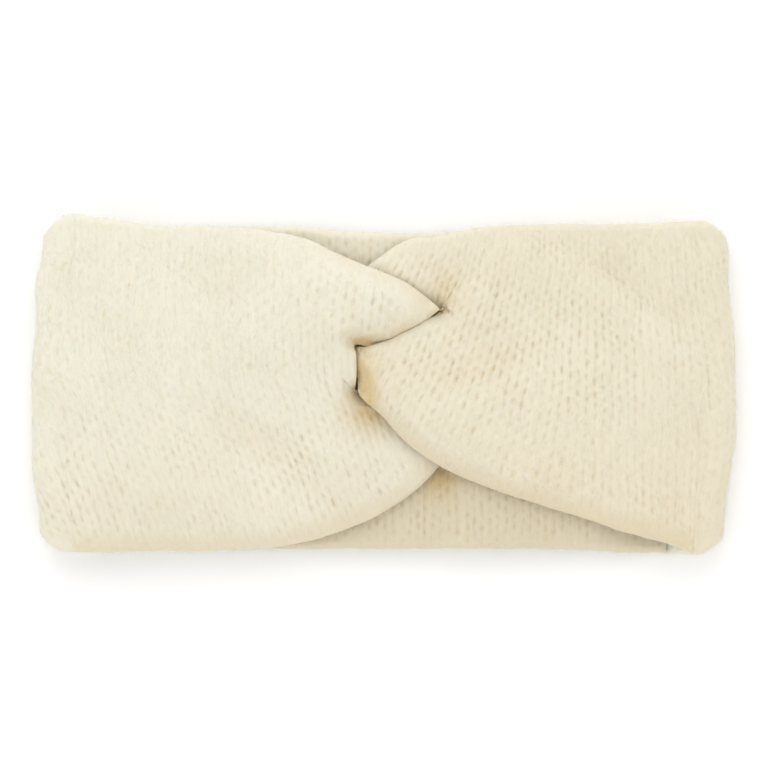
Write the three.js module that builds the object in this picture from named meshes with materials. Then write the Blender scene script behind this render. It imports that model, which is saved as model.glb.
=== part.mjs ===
// Knitted ear warmer headband lying flat, its two front wraps crossing in a twist.
// Millimetres, X along the band, Y across it, Z up out of the front. The floor is Z = 0.
import * as THREE from "three";

// Sizes of the whole band
const BAND_LENGTH = 234; // outside length, lying flat
const BAND_WIDTH = 111; // width of the cloth
const WALL = 5; // thickness of the double knit cloth
const HOLLOW = 7; // clear height between the back and the front, where the head goes
const TWIST_RISE = 12; // how much higher than the flat front the twist can reach
const SEAM_GAP = 0.35; // clearance between a wrap and the back panel

// The cloth's rims and its gathered end
const RIM_ROUND = WALL / 2; // radius of the rolled rims
const PINCH_SHARE = 0.76; // part of the wall left where the end is gathered
const PINCH_RUN = 26; // length over which the wall thins to it

// The side folds: how far the middle of the wall reaches out at the bottom, middle and top rims
const LEFT_REACH = { low: 112, mid: 115.2, top: 111.6 };
const RIGHT_REACH = { low: 110.3, mid: 114.2, top: 111.6 };
const CORNER_SHARE = 0.07; // how much narrower the cloth is drawn at the fold's outermost line
const SEAM_REACH = 94; // where a wrap ends on the back, measured from the middle

// The back panel's rims at the middle of the band, as shares of the half width
const BACK_LOW_SHARE = -0.998;
const BACK_TOP_SHARE = 0.906;
const BACK_BOW_POWER = 0.4; // power of the curve by which its rims leave the wraps' rims

// The gathered seam under the twist
const SEAM_WIDE = 6.2;
const SEAM_TALL = 4;
const SEAM_TOP = 13.6;
const SEAM_START_SHARE = 0.28; // where it starts and stops along the groove
const SEAM_STOP_SHARE = 0.82;
const SEAM_TIP_SHARE = 0.12; // part of its length that each end rounds off in

// How finely the cloth is divided
const FOLD_STEPS = 10;
const ROW_STEPS = 3;
const END_ROW_STEPS = 4;
const END_ROWS = 2; // rows at the gathered end with the finer steps
const ACROSS_STEPS = 22;
const BACK_STEPS = 18;
const BACK_ACROSS_STEPS = 5;
const SEAM_STEPS = 16;
const SEAM_SIDES = 12;
const RIM_SHARES = [0, 0.15, 0.45]; // places on a rolled rim, as shares of its radius

// Worked out from the sizes
const HALF_LENGTH = BAND_LENGTH / 2;
const HALF_WIDTH = BAND_WIDTH / 2;
const FOLD_RADIUS = (HOLLOW + WALL) / 2;
const BACK_Z = WALL / 2;
const FRONT_Z = BACK_Z + 2 * FOLD_RADIUS;

// A wrap's sections, from its side fold to its gathered end. Low, fold and top are the low rim,
// the middle line that the end folds on, and the top rim. Along is a share of the half length,
// from the middle to the wrap's own side; across, lean and slip are shares of the half width;
// rise and swell are shares of the twist's rise above the flat front. Swell lifts an arm between
// its rims, lean bows the arm that lies on top, and slip moves its middle towards the rim.
const COLUMNS = [
  "lowAlong", "lowAcross", "lowRise",
  "foldAlong", "foldAcross", "foldRise",
  "topAlong", "topAcross", "topRise",
  "lowSwell", "topSwell", "leanMid", "leanRim", "slip",
];
const LEFT_SECTIONS = [
  [0.932, -1.009, 0, 0.932, 0, 0, 0.932, 0.995, 0, 0, 0, 0, 0, 0],
  [0.821, -1.009, -0.025, 0.829, 0, 0.042, 0.821, 0.995, -0.025, 0.042, 0.042, 0, 0, 0],
  [0.632, -1.005, -0.042, 0.675, 0, 0.167, 0.632, 0.948, 0, 0.083, 0.083, 0, 0, 0],
  [0.427, -0.995, -0.042, 0.496, 0, 0.25, 0.427, 0.908, 0.125, 0.125, 0.167, 0, 0, 0],
  [0.239, -0.955, -0.042, 0.325, -0.036, 0.333, 0.248, 0.854, 0.292, 0.167, 0.292, 0.054, 0, 0],
  [0.103, -0.874, -0.042, 0.222, -0.081, 0.292, 0.111, 0.782, 0.442, 0.167, 0.417, 0.126, 0.018, -0.018],
  [0, -0.766, -0.042, 0.158, -0.123, 0.175, 0.017, 0.703, 0.542, 0.167, 0.458, 0.216, 0.036, -0.036],
  [-0.094, -0.631, -0.042, 0.115, -0.144, 0.025, -0.064, 0.605, 0.592, 0.125, 0.383, 0.306, 0.054, -0.072],
  [-0.162, -0.477, -0.05, 0.085, -0.155, -0.05, -0.12, 0.519, 0.508, 0.067, 0.133, 0.369, 0.054, -0.09],
  [-0.214, -0.306, -0.058, 0.064, -0.155, -0.075, -0.138, 0.483, 0.35, 0, -0.183, 0.351, 0.027, -0.108],
];
const RIGHT_SECTIONS = [
  [0.923, -1.013, 0, 0.923, 0, 0, 0.923, 0.977, 0, 0, 0, 0, 0, 0],
  [0.821, -0.955, -0.008, 0.829, 0, 0.042, 0.821, 0.969, -0.025, 0.042, 0.042, 0, 0, 0],
  [0.632, -0.85, 0.058, 0.684, 0.054, 0.208, 0.641, 0.955, -0.025, 0.167, 0, 0, 0, 0],
  [0.444, -0.735, 0.208, 0.53, 0.126, 0.375, 0.444, 0.944, -0.017, 0.25, 0, 0, 0, 0],
  [0.291, -0.623, 0.358, 0.402, 0.225, 0.458, 0.282, 0.923, 0.042, 0.375, 0.042, 0, 0, 0],
  [0.171, -0.51, 0.458, 0.303, 0.315, 0.417, 0.145, 0.876, 0.092, 0.5, 0.067, 0, 0, 0],
  [0.077, -0.375, 0.508, 0.244, 0.375, 0.25, 0.051, 0.804, 0.075, 0.567, 0.067, 0.018, 0.054, 0],
  [0.009, -0.222, 0.525, 0.205, 0.405, 0.058, -0.026, 0.721, 0.025, 0.5, 0.033, 0.072, 0.126, 0],
  [-0.031, -0.097, 0.458, 0.184, 0.414, -0.067, -0.077, 0.631, -0.025, 0.267, 0, 0.117, 0.189, 0],
  [-0.041, -0.04, 0.267, 0.171, 0.407, -0.092, -0.111, 0.559, -0.058, -0.1, 0, 0.126, 0.209, 0],
];

// Side -1 is the left wrap, whose top arm lies on top; side 1 the right, whose low arm does
const LEFT = { side: -1, over: "top", reach: LEFT_REACH, table: LEFT_SECTIONS };
const RIGHT = { side: 1, over: "low", reach: RIGHT_REACH, table: RIGHT_SECTIONS };

const named = (row) => Object.fromEntries(COLUMNS.map((name, k) => [name, row[k]]));

// One arm of a section: the two points that shape it between its rim and the fold line
function armPoints(rim, fold, swell, lean, slip) {
  const run = new THREE.Vector3().subVectors(fold, rim);
  const flat = new THREE.Vector3(run.x, run.y, 0).normalize();
  const sideways = new THREE.Vector3(-flat.y, flat.x, 0);
  const lift = new THREE.Vector3(0, 0, swell);
  const nearRim = rim.clone().addScaledVector(run, 1 / 6);
  nearRim.addScaledVector(sideways, lean.rim).add(lift);
  const middle = rim.clone().addScaledVector(run, 1 / 2);
  middle.addScaledVector(sideways, lean.mid).addScaledVector(flat, -slip).add(lift);
  return [nearRim, middle];
}

// The seven shaping points of a table row, from the low rim to the top rim
function sectionPoints(wrap, row) {
  const r = named(row);
  const place = (part) => new THREE.Vector3(
    wrap.side * HALF_LENGTH * r[part + "Along"],
    HALF_WIDTH * r[part + "Across"],
    FRONT_Z + TWIST_RISE * r[part + "Rise"],
  );
  const [low, fold, top] = ["low", "fold", "top"].map(place);
  const lean = { rim: wrap.side * HALF_WIDTH * r.leanRim, mid: wrap.side * HALF_WIDTH * r.leanMid };
  const slip = HALF_WIDTH * r.slip;
  const none = { rim: 0, mid: 0 };
  const isOver = (part) => wrap.over === part;
  const lowArm = armPoints(
    low, fold, TWIST_RISE * r.lowSwell, isOver("low") ? lean : none, isOver("low") ? slip : 0,
  );
  const topArm = armPoints(
    top, fold, TWIST_RISE * r.topSwell, isOver("top") ? lean : none, isOver("top") ? slip : 0,
  );
  return [low, ...lowArm, fold, ...topArm.reverse(), top];
}

// The same points carried round the side fold: -90 degrees lies on the floor, 90 on the front
function foldPoints(wrap, degrees) {
  const angle = THREE.MathUtils.degToRad(degrees);
  return wrap.sections[0].map((p) => {
    const end = p.y < 0 ? wrap.reach.low : wrap.reach.top;
    const reach = THREE.MathUtils.lerp(wrap.reach.mid, end, (p.y / HALF_WIDTH) ** 2);
    return new THREE.Vector3(
      wrap.side * (reach - FOLD_RADIUS * (1 - Math.cos(angle))),
      p.y * (1 - CORNER_SHARE * Math.cos(angle) ** 2),
      BACK_Z + FOLD_RADIUS * (1 + Math.sin(angle)),
    );
  });
}

// A smooth curve through neighbouring sections
function between(before, start, stop, after, t) {
  const blend = (axis, k) => {
    const [a, b, c, d] = [before[k][axis], start[k][axis], stop[k][axis], after[k][axis]];
    const curve = (2 * a - 5 * b + 4 * c - d) * t * t + (3 * b - a - 3 * c + d) * t * t * t;
    return (2 * b + (c - a) * t + curve) / 2;
  };
  return start.map((_, k) => new THREE.Vector3(blend("x", k), blend("y", k), blend("z", k)));
}

// A wrap's section at a station: -2 to -1 on the back, -1 to 0 round the fold, then a row each
function sectionAt(wrap, station) {
  if (station < -1) {
    return foldPoints(wrap, -90).map((p) => {
      const seam = new THREE.Vector3(wrap.side * SEAM_REACH, p.y, p.z);
      return seam.lerp(p, station + 2);
    });
  }
  if (station < 0) {
    return foldPoints(wrap, 180 * (station + 1) - 90);
  }
  const rows = [foldPoints(wrap, 90), ...wrap.sections.slice(1)];
  const last = rows.length - 1;
  const i = Math.min(Math.floor(station), last - 1);
  const carriedOn = (from, to) => to.map((p, k) => p.clone().multiplyScalar(2).sub(from[k]));
  const entry = rows[0].map((p) => new THREE.Vector3(p.x + wrap.side * 2 * FOLD_RADIUS, p.y, p.z));
  const before = i === 0 ? entry : rows[i - 1];
  const after = i + 2 > last ? carriedOn(rows[last - 1], rows[last]) : rows[i + 2];
  return between(before, rows[i], rows[i + 1], after, station - i);
}

// Weights of a section's seven points at a share of the way across (clamped cubic spline)
function weightsAt(share) {
  const knots = [0, 0, 0, 0, 0.25, 0.5, 0.75, 1, 1, 1, 1];
  const at = Math.min(Math.max(share, 0), 1 - 1e-9);
  let weights = knots.slice(0, -1).map((knot, i) => (at >= knot && at < knots[i + 1] ? 1 : 0));
  const part = (top, bottom) => (bottom > 0 ? top / bottom : 0);
  for (let degree = 1; degree <= 3; degree += 1) {
    weights = weights.slice(0, -1).map((weight, i) => {
      const rising = part(at - knots[i], knots[i + degree] - knots[i]);
      const falling = part(knots[i + degree + 1] - at, knots[i + degree + 1] - knots[i + 1]);
      return rising * weight + falling * weights[i + 1];
    });
  }
  return weights;
}

// The middle of a wrap's wall at a station and a share of the way across
function wrapPoint(wrap, station, share) {
  const points = sectionAt(wrap, station);
  return weightsAt(share).reduce(
    (sum, weight, k) => sum.addScaledVector(points[k], weight),
    new THREE.Vector3(),
  );
}

// The middle of the back panel's wall; along runs from its left end to its right
function backPoint(along, share) {
  const [left, right] = [LEFT.sections[0], RIGHT.sections[0]];
  const reach = SEAM_REACH - SEAM_GAP;
  const leaving = Math.sin(Math.PI * THREE.MathUtils.clamp(along, 0, 1)) ** BACK_BOW_POWER;
  const rim = (k, middle) => THREE.MathUtils.lerp(
    THREE.MathUtils.lerp(left[k].y, right[k].y, along),
    middle,
    leaving,
  );
  const low = rim(0, HALF_WIDTH * BACK_LOW_SHARE);
  const top = rim(left.length - 1, HALF_WIDTH * BACK_TOP_SHARE);
  const y = THREE.MathUtils.lerp(low, top, share);
  return new THREE.Vector3(THREE.MathUtils.lerp(-reach, reach, along), y, BACK_Z);
}

// How much of its half thickness the wall has at a distance in from a rolled rim
function rimShare(distance) {
  const inward = Math.min(distance / RIM_ROUND, 1);
  return Math.sqrt(1 - (1 - inward) ** 2);
}

// Running lengths along a row of points, from its start
function runningLengths(points) {
  const lengths = [0];
  for (let k = 1; k < points.length; k += 1) {
    lengths.push(lengths[k - 1] + points[k].distanceTo(points[k - 1]));
  }
  return lengths;
}

// A closed wall round a middle surface, its rims rolled on all four sides
function wallGeometry(stations, shares, pointAt, pinched) {
  const step = 1e-3;
  const middle = stations.map((s) => shares.map((v) => pointAt(s, v)));
  const acrossAt = middle.map(runningLengths);
  const alongAt = shares.map((_, j) => runningLengths(middle.map((row) => row[j])));
  const [lastRow, lastColumn] = [stations.length - 1, shares.length - 1];
  const halfWall = (i, j) => {
    const across = Math.min(acrossAt[i][j], acrossAt[i][lastColumn] - acrossAt[i][j]);
    const toEnd = alongAt[j][lastRow] - alongAt[j][i];
    const along = Math.min(alongAt[j][i], toEnd);
    const thinning = THREE.MathUtils.smoothstep(toEnd, 0, PINCH_RUN);
    const pinch = pinched ? THREE.MathUtils.lerp(PINCH_SHARE, 1, thinning) : 1;
    return (WALL / 2) * pinch * rimShare(across) * rimShare(along);
  };
  const outward = (i, j) => {
    const [s, v] = [stations[i], shares[j]];
    const limit = (value, range) => Math.min(Math.max(value, range[0]), range[range.length - 1]);
    const alongStart = pointAt(limit(s - step, stations), v);
    const along = pointAt(limit(s + step, stations), v).sub(alongStart);
    const acrossStart = pointAt(s, limit(v - step, shares));
    const across = pointAt(s, limit(v + step, shares)).sub(acrossStart);
    return along.cross(across).normalize();
  };
  const positions = [];
  const add = (p) => positions.push(p.x, p.y, p.z) / 3 - 1;
  const onRim = (i, j) => i === 0 || j === 0 || i === lastRow || j === lastColumn;
  const faceA = stations.map(() => []);
  const faceB = stations.map(() => []);
  for (let i = 0; i <= lastRow; i += 1) {
    for (let j = 0; j <= lastColumn; j += 1) {
      const half = outward(i, j).multiplyScalar(halfWall(i, j));
      faceA[i][j] = add(middle[i][j].clone().add(half));
      faceB[i][j] = onRim(i, j) ? faceA[i][j] : add(middle[i][j].clone().sub(half));
    }
  }
  const index = [];
  for (let i = 0; i < lastRow; i += 1) {
    for (let j = 0; j < lastColumn; j += 1) {
      const [a, b, c, d] = [faceA[i][j], faceA[i + 1][j], faceA[i + 1][j + 1], faceA[i][j + 1]];
      index.push(a, b, c, a, c, d);
      const [e, f, g, h] = [faceB[i][j], faceB[i + 1][j], faceB[i + 1][j + 1], faceB[i][j + 1]];
      index.push(e, g, f, e, h, g);
    }
  }
  return closedGeometry(positions, index);
}

// The gathered seam: a plain ridge under the groove where the two wraps' ends meet
function seamGeometry() {
  const lastLeft = LEFT.sections.length - 1;
  const lastRight = RIGHT.sections.length - 1;
  const line = [];
  for (let k = 0; k <= SEAM_STEPS; k += 1) {
    const s = THREE.MathUtils.lerp(SEAM_START_SHARE, SEAM_STOP_SHARE, k / SEAM_STEPS);
    const left = wrapPoint(LEFT, lastLeft, (1 + s) / 2);
    const middle = left.lerp(wrapPoint(RIGHT, lastRight, s / 2), 1 / 2);
    line.push(middle.setZ(SEAM_TOP - SEAM_TALL / 2));
  }
  const positions = [];
  const index = [];
  const ring = (k) => 1 + (k - 1) * SEAM_SIDES;
  positions.push(line[0].x, line[0].y, line[0].z);
  for (let k = 1; k < SEAM_STEPS; k += 1) {
    const run = new THREE.Vector3().subVectors(line[k + 1], line[k - 1]).normalize();
    const share = Math.min(k, SEAM_STEPS - k) / SEAM_STEPS / SEAM_TIP_SHARE;
    const round = Math.sqrt(1 - (1 - Math.min(share, 1)) ** 2);
    for (let m = 0; m < SEAM_SIDES; m += 1) {
      const angle = (2 * Math.PI * m) / SEAM_SIDES;
      const wide = (round * Math.cos(angle) * SEAM_WIDE) / 2;
      const tall = (round * Math.sin(angle) * SEAM_TALL) / 2;
      positions.push(line[k].x - run.y * wide, line[k].y + run.x * wide, line[k].z + tall);
    }
  }
  const tip = positions.length / 3;
  positions.push(line[SEAM_STEPS].x, line[SEAM_STEPS].y, line[SEAM_STEPS].z);
  for (let m = 0; m < SEAM_SIDES; m += 1) {
    const next = (m + 1) % SEAM_SIDES;
    index.push(0, ring(1) + next, ring(1) + m);
    index.push(tip, ring(SEAM_STEPS - 1) + m, ring(SEAM_STEPS - 1) + next);
    for (let k = 1; k < SEAM_STEPS - 1; k += 1) {
      const [a, b, c, d] = [ring(k) + m, ring(k) + next, ring(k + 1) + next, ring(k + 1) + m];
      index.push(a, b, c, a, c, d);
    }
  }
  return closedGeometry(positions, index);
}

// A closed body from points and triangles, turned so that its faces look out
function closedGeometry(positions, index) {
  const point = (k) => new THREE.Vector3().fromArray(positions, 3 * k);
  let volume = 0;
  for (let k = 0; k < index.length; k += 3) {
    volume += point(index[k]).dot(point(index[k + 1]).cross(point(index[k + 2])));
  }
  const geometry = new THREE.BufferGeometry();
  geometry.setAttribute("position", new THREE.Float32BufferAttribute(positions, 3));
  geometry.setIndex(volume > 0 ? index : index.toReversed());
  geometry.computeVertexNormals();
  return geometry;
}

// Shares of the way across a wall: close together on its rolled rims, even between them
function acrossShares(steps) {
  const rims = RIM_SHARES.map((step) => (step * RIM_ROUND) / BAND_WIDTH);
  const first = RIM_ROUND / BAND_WIDTH;
  const inner = Array.from({ length: steps + 1 }, (_, k) => first + ((1 - 2 * first) * k) / steps);
  return [...rims, ...inner, ...rims.map((rim) => 1 - rim).reverse()];
}

// A wrap's stations: the seam's rim, the back, the fold, the rows and the gathered rim
function wrapStations(wrap) {
  const backRun = wrap.reach.mid - FOLD_RADIUS - SEAM_REACH;
  const stations = [...RIM_SHARES, 1].map((step) => -2 + (step * RIM_ROUND) / backRun);
  for (let k = 0; k <= FOLD_STEPS; k += 1) {
    stations.push(-1 + k / FOLD_STEPS);
  }
  const last = wrap.sections.length - 1;
  for (let row = 0; row < last; row += 1) {
    const steps = row >= last - END_ROWS ? END_ROW_STEPS : ROW_STEPS;
    for (let k = 1; k <= steps; k += 1) {
      stations.push(row + k / steps);
    }
  }
  const ends = wrapPoint(wrap, last, 1 / 4).distanceTo(wrapPoint(wrap, last - 1, 1 / 4));
  const rims = RIM_SHARES.slice(1).map((step) => last - (step * RIM_ROUND) / ends);
  return [...stations, ...rims].sort((a, b) => a - b);
}

// The back panel's stations, with the rims of its two ends
function backStations() {
  const ends = RIM_SHARES.map((step) => (step * RIM_ROUND) / (2 * SEAM_REACH));
  const first = RIM_ROUND / (2 * SEAM_REACH);
  const inner = Array.from(
    { length: BACK_STEPS + 1 },
    (_, k) => first + ((1 - 2 * first) * k) / BACK_STEPS,
  );
  return [...ends, ...inner, ...ends.map((end) => 1 - end).reverse()];
}

for (const wrap of [LEFT, RIGHT]) {
  wrap.sections = wrap.table.map((row) => sectionPoints(wrap, row));
}

const CREAM = 0xe9e1ca;
const group = new THREE.Group();
group.name = "ear_warmer_headband";

function addNode(name, geometry) {
  const material = new THREE.MeshStandardMaterial({ color: CREAM, roughness: 0.95, metalness: 0 });
  material.name = name;
  const mesh = new THREE.Mesh(geometry, material);
  mesh.name = name;
  group.add(mesh);
}

const wrapWall = (wrap) => wallGeometry(
  wrapStations(wrap),
  acrossShares(ACROSS_STEPS),
  (station, share) => wrapPoint(wrap, station, share),
  true,
);
addNode("left_wrap", wrapWall(LEFT));
addNode("right_wrap", wrapWall(RIGHT));
addNode("back_panel", wallGeometry(backStations(), acrossShares(BACK_ACROSS_STEPS), backPoint, false));
addNode("centre_seam", seamGeometry());

export default group;
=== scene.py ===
import math

import bpy
import numpy as np
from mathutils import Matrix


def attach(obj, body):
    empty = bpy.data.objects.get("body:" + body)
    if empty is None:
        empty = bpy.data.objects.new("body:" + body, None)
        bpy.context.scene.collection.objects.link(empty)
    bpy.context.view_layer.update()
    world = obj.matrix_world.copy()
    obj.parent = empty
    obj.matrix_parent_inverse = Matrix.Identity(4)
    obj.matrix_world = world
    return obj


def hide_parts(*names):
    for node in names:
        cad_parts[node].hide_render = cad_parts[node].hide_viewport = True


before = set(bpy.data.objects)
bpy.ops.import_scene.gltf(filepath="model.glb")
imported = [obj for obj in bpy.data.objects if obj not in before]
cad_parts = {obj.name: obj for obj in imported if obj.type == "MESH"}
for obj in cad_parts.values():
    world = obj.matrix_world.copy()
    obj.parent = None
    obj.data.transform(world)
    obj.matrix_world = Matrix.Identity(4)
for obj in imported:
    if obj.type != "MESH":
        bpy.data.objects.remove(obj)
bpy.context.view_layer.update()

MM = 0.001

# Sizes of the band, in millimetres
BAND_LENGTH = 234.0
BAND_WIDTH = 111.0
WALL = 5.0  # thickness of the cloth
HOLLOW = 7.0  # clear height between the back and the front
TWIST_RISE = 12.0
SEAM_GAP = 0.35  # clearance between a wrap and the back panel
SEAM_GAP_KEPT = 0.4  # part of that clearance that the knitted back panel leaves
RIM_ROUND = WALL / 2
PINCH_SHARE, PINCH_RUN = 0.76, 26.0  # part of the wall left at the gathered end, and the run to it
CORNER_SHARE = 0.07  # how much narrower the cloth is at the fold's outermost line
SEAM_REACH = 94.0  # where a wrap ends on the back
BACK_LOW_SHARE, BACK_TOP_SHARE, BACK_BOW_POWER = -0.998, 0.906, 0.4
HALF_LENGTH, HALF_WIDTH = BAND_LENGTH / 2, BAND_WIDTH / 2
FOLD_RADIUS = (HOLLOW + WALL) / 2
BACK_Z = WALL / 2
FRONT_Z = BACK_Z + 2 * FOLD_RADIUS

# The gathered seam: it is hidden under the two rolls, and drawn a little flatter than its solid
SEAM_START_SHARE, SEAM_STOP_SHARE, SEAM_TIP_SHARE = 0.28, 0.82, 0.12
SEAM_BROAD, SEAM_THICK, SEAM_LOW = 5.0, 2.0, 6.2
SEAM_GATHERS, SEAM_GATHER_DEPTH = 14, 0.09
# painted shade over the whole seam, which lies in the shadow under the rolls
SEAM_SHADE = 0.6

# The knitting: one stitch is this wide and this high in the flat cloth
WALE, COURSE = 5.33, 4.0
YARN_HEIGHT, OPENING_DEPTH = 0.3, 1.15  # how strongly the yarn and its openings stand out
BACK_YARN_HEIGHT, BACK_OPENING_DEPTH = 0.22, 0.85
OPENING_WIDE, OPENING_LONG, OPENING_MORE = 0.52, 0.95, 0.45  # the last is how much longer some are

# Spacing of the cloth's grid: on the return, round the fold, on the front and across
RETURN_STEP, FOLD_STEP, FRONT_STEP, ACROSS_STEP = 1.6, 0.7, 0.54, 0.42
BACK_STEP, BACK_ACROSS_STEP = 0.55, 0.45
RIM_STEPS = np.array([0.04, 0.15])  # extra rows on the rolled rims, as shares of their radius
END_ROWS = 26  # rows next to a cloth's last end where the inner face stays finer
END_SHARPNESS = 12  # how much sharper than a rim the ends that butt together are
WRAP_INNER_EVERY, BACK_INNER_EVERY = 4, 10  # the inner face has one row for so many outer ones
BACK_END_SHARE = 0.0003  # an extra row at each butted end, as a share of the panel's length

# The front's gentle waves, and how much the wall thins where an end turns down, over what run
WAVE_HEIGHT = 0.45
TURN_THINNING, TURN_THIN_RUN = 0.78, 7
# The inner face of the back panel is lower than its raised middle by this share of the rise
BACK_INNER_DROP = 0.4

# Painted warm shade: in the openings, on the back's upper and lower strip and, as a painted shadow,
# in its notch under the twist (place, reach squared and strength), and how far painted shade dims the back's
# lower strip
OPENING_PAINTED_SHADE = 0.45
BACK_TOP_PAINTED_SHADE, BACK_LOW_PAINTED_SHADE = 0.12, 0.36
NOTCH_X, NOTCH_Y, NOTCH_SQUARE, NOTCH_PAINTED_SHADOW = 18.3, -31.0, 45.0, 0.72
BACK_PAINTED_DIM = 0.3

# Loose fibres: how many, and their length, rise and half thickness as least and spread
WRAP_FIBRES, BACK_FIBRES = 30000, 12000
FIBRE_LENGTH, FIBRE_RISE, FIBRE_HALF = (1.0, 2.4), (0.25, 0.6), (0.022, 0.014)
FIBRE_FLOOR = 0.15  # a fibre's root is this deep in the cloth, and none comes lower than this

# A row per section of a wrap, in shares of the half length, half width and twist rise, as the
# part's own tables: low, fold and top points (along, across, rise), low and top swell, and the
# lean (middle, rim) and slip of the arm that lies on top.
LEFT_SECTIONS = [
    (0.932, -1.009, 0, 0.932, 0, 0, 0.932, 0.995, 0, 0, 0, 0, 0, 0),
    (0.821, -1.009, -0.025, 0.829, 0, 0.042, 0.821, 0.995, -0.025, 0.042, 0.042, 0, 0, 0),
    (0.632, -1.005, -0.042, 0.675, 0, 0.167, 0.632, 0.948, 0, 0.083, 0.083, 0, 0, 0),
    (0.427, -0.995, -0.042, 0.496, 0, 0.25, 0.427, 0.908, 0.125, 0.125, 0.167, 0, 0, 0),
    (0.239, -0.955, -0.042, 0.325, -0.036, 0.333, 0.248, 0.854, 0.292, 0.167, 0.292, 0.054, 0, 0),
    (0.103, -0.874, -0.042, 0.222, -0.081, 0.292, 0.111, 0.782, 0.442, 0.167, 0.417, 0.126, 0.018, -0.018),
    (0, -0.766, -0.042, 0.158, -0.123, 0.175, 0.017, 0.703, 0.542, 0.167, 0.458, 0.216, 0.036, -0.036),
    (-0.094, -0.631, -0.042, 0.115, -0.144, 0.025, -0.064, 0.605, 0.592, 0.125, 0.383, 0.306, 0.054, -0.072),
    (-0.162, -0.477, -0.05, 0.085, -0.155, -0.05, -0.12, 0.519, 0.508, 0.067, 0.133, 0.369, 0.054, -0.09),
    (-0.214, -0.306, -0.058, 0.064, -0.155, -0.075, -0.138, 0.483, 0.35, 0, -0.183, 0.351, 0.027, -0.108),
]
RIGHT_SECTIONS = [
    (0.923, -1.013, 0, 0.923, 0, 0, 0.923, 0.977, 0, 0, 0, 0, 0, 0),
    (0.821, -0.955, -0.008, 0.829, 0, 0.042, 0.821, 0.969, -0.025, 0.042, 0.042, 0, 0, 0),
    (0.632, -0.85, 0.058, 0.684, 0.054, 0.208, 0.641, 0.955, -0.025, 0.167, 0, 0, 0, 0),
    (0.444, -0.735, 0.208, 0.53, 0.126, 0.375, 0.444, 0.944, -0.017, 0.25, 0, 0, 0, 0),
    (0.291, -0.623, 0.358, 0.402, 0.225, 0.458, 0.282, 0.923, 0.042, 0.375, 0.042, 0, 0, 0),
    (0.171, -0.51, 0.458, 0.303, 0.315, 0.417, 0.145, 0.876, 0.092, 0.5, 0.067, 0, 0, 0),
    (0.077, -0.375, 0.508, 0.244, 0.375, 0.25, 0.051, 0.804, 0.075, 0.567, 0.067, 0.018, 0.054, 0),
    (0.009, -0.222, 0.525, 0.205, 0.405, 0.058, -0.026, 0.721, 0.025, 0.5, 0.033, 0.072, 0.126, 0),
    (-0.031, -0.097, 0.458, 0.184, 0.414, -0.067, -0.077, 0.631, -0.025, 0.267, 0, 0.117, 0.189, 0),
    (-0.041, -0.04, 0.267, 0.171, 0.407, -0.092, -0.111, 0.559, -0.058, -0.1, 0, 0.126, 0.209, 0),
]
LEFT = dict(side=-1, over="top", low=112.0, mid=115.2, top=111.6, rows=LEFT_SECTIONS)
RIGHT = dict(side=1, over="low", low=110.3, mid=114.2, top=111.6, rows=RIGHT_SECTIONS)


def arm_points(rim, fold, swell, lean_mid, lean_rim, slip):
    """Two points between a rim and the fold: one near the rim and one halfway."""
    run = fold - rim
    flat = np.array([run[0], run[1], 0.0])
    flat /= np.linalg.norm(flat)
    sideways = np.array([-flat[1], flat[0], 0.0])
    lift = np.array([0.0, 0.0, swell])
    near_rim = rim + run / 6 + sideways * lean_rim + lift
    middle = rim + run / 2 + sideways * lean_mid - flat * slip + lift
    return near_rim, middle


def section_points(wrap, row):
    """The seven points of a section, from the low rim over the fold to the top rim."""
    side = wrap["side"]

    def place(k):
        return np.array([
            side * HALF_LENGTH * row[k], HALF_WIDTH * row[k + 1], FRONT_Z + TWIST_RISE * row[k + 2],
        ])

    low, fold, top = place(0), place(3), place(6)
    low_swell, top_swell, lean_mid, lean_rim, slip = row[9:]
    lean = (side * HALF_WIDTH * lean_mid, side * HALF_WIDTH * lean_rim, HALF_WIDTH * slip)
    low_lean = lean if wrap["over"] == "low" else (0, 0, 0)
    top_lean = lean if wrap["over"] == "top" else (0, 0, 0)
    a, b = arm_points(low, fold, TWIST_RISE * low_swell, *low_lean)
    e, d = arm_points(top, fold, TWIST_RISE * top_swell, *top_lean)
    return np.array([low, a, b, fold, d, e, top])


for wrap in (LEFT, RIGHT):
    wrap["net"] = np.array([section_points(wrap, row) for row in wrap["rows"]])


def fold_points(wrap, degrees):
    """A section carried round the side fold: -90 degrees lies on the floor, 90 on the front."""
    a = math.radians(degrees)
    p = wrap["net"][0].copy()
    y = p[:, 1].copy()
    end = np.where(y < 0, wrap["low"], wrap["top"])
    reach = wrap["mid"] + (end - wrap["mid"]) * (y / HALF_WIDTH) ** 2
    p[:, 0] = wrap["side"] * (reach - FOLD_RADIUS * (1 - math.cos(a)))
    p[:, 1] = y * (1 - CORNER_SHARE * math.cos(a) ** 2)
    p[:, 2] = BACK_Z + FOLD_RADIUS * (1 + math.sin(a))
    return p


def section_at(wrap, station):
    """A wrap's section: -2 to -1 is its return on the back, -1 to 0 its side fold, then its rows."""
    if station < -1:
        p = fold_points(wrap, -90)
        p[:, 0] = wrap["side"] * SEAM_REACH + (p[:, 0] - wrap["side"] * SEAM_REACH) * (station + 2)
        return p
    if station < 0:
        return fold_points(wrap, 180 * (station + 1) - 90)
    rows = wrap["front"]
    last = len(rows) - 1
    i = min(int(station), last - 1)
    t = station - i
    before = wrap["entry"] if i == 0 else rows[i - 1]
    after = 2 * rows[last] - rows[last - 1] if i + 2 > last else rows[i + 2]
    b, c = rows[i], rows[i + 1]
    curve = (2 * before - 5 * b + 4 * c - after) * t * t + (3 * b - before - 3 * c + after) * t ** 3
    return (2 * b + (c - before) * t + curve) / 2


for wrap in (LEFT, RIGHT):
    start = fold_points(wrap, 90)
    wrap["front"] = np.concatenate([start[None], wrap["net"][1:]])
    wrap["entry"] = start + np.array([wrap["side"] * 2 * FOLD_RADIUS, 0, 0])
    wrap["last"] = len(wrap["net"]) - 1.0


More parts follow.
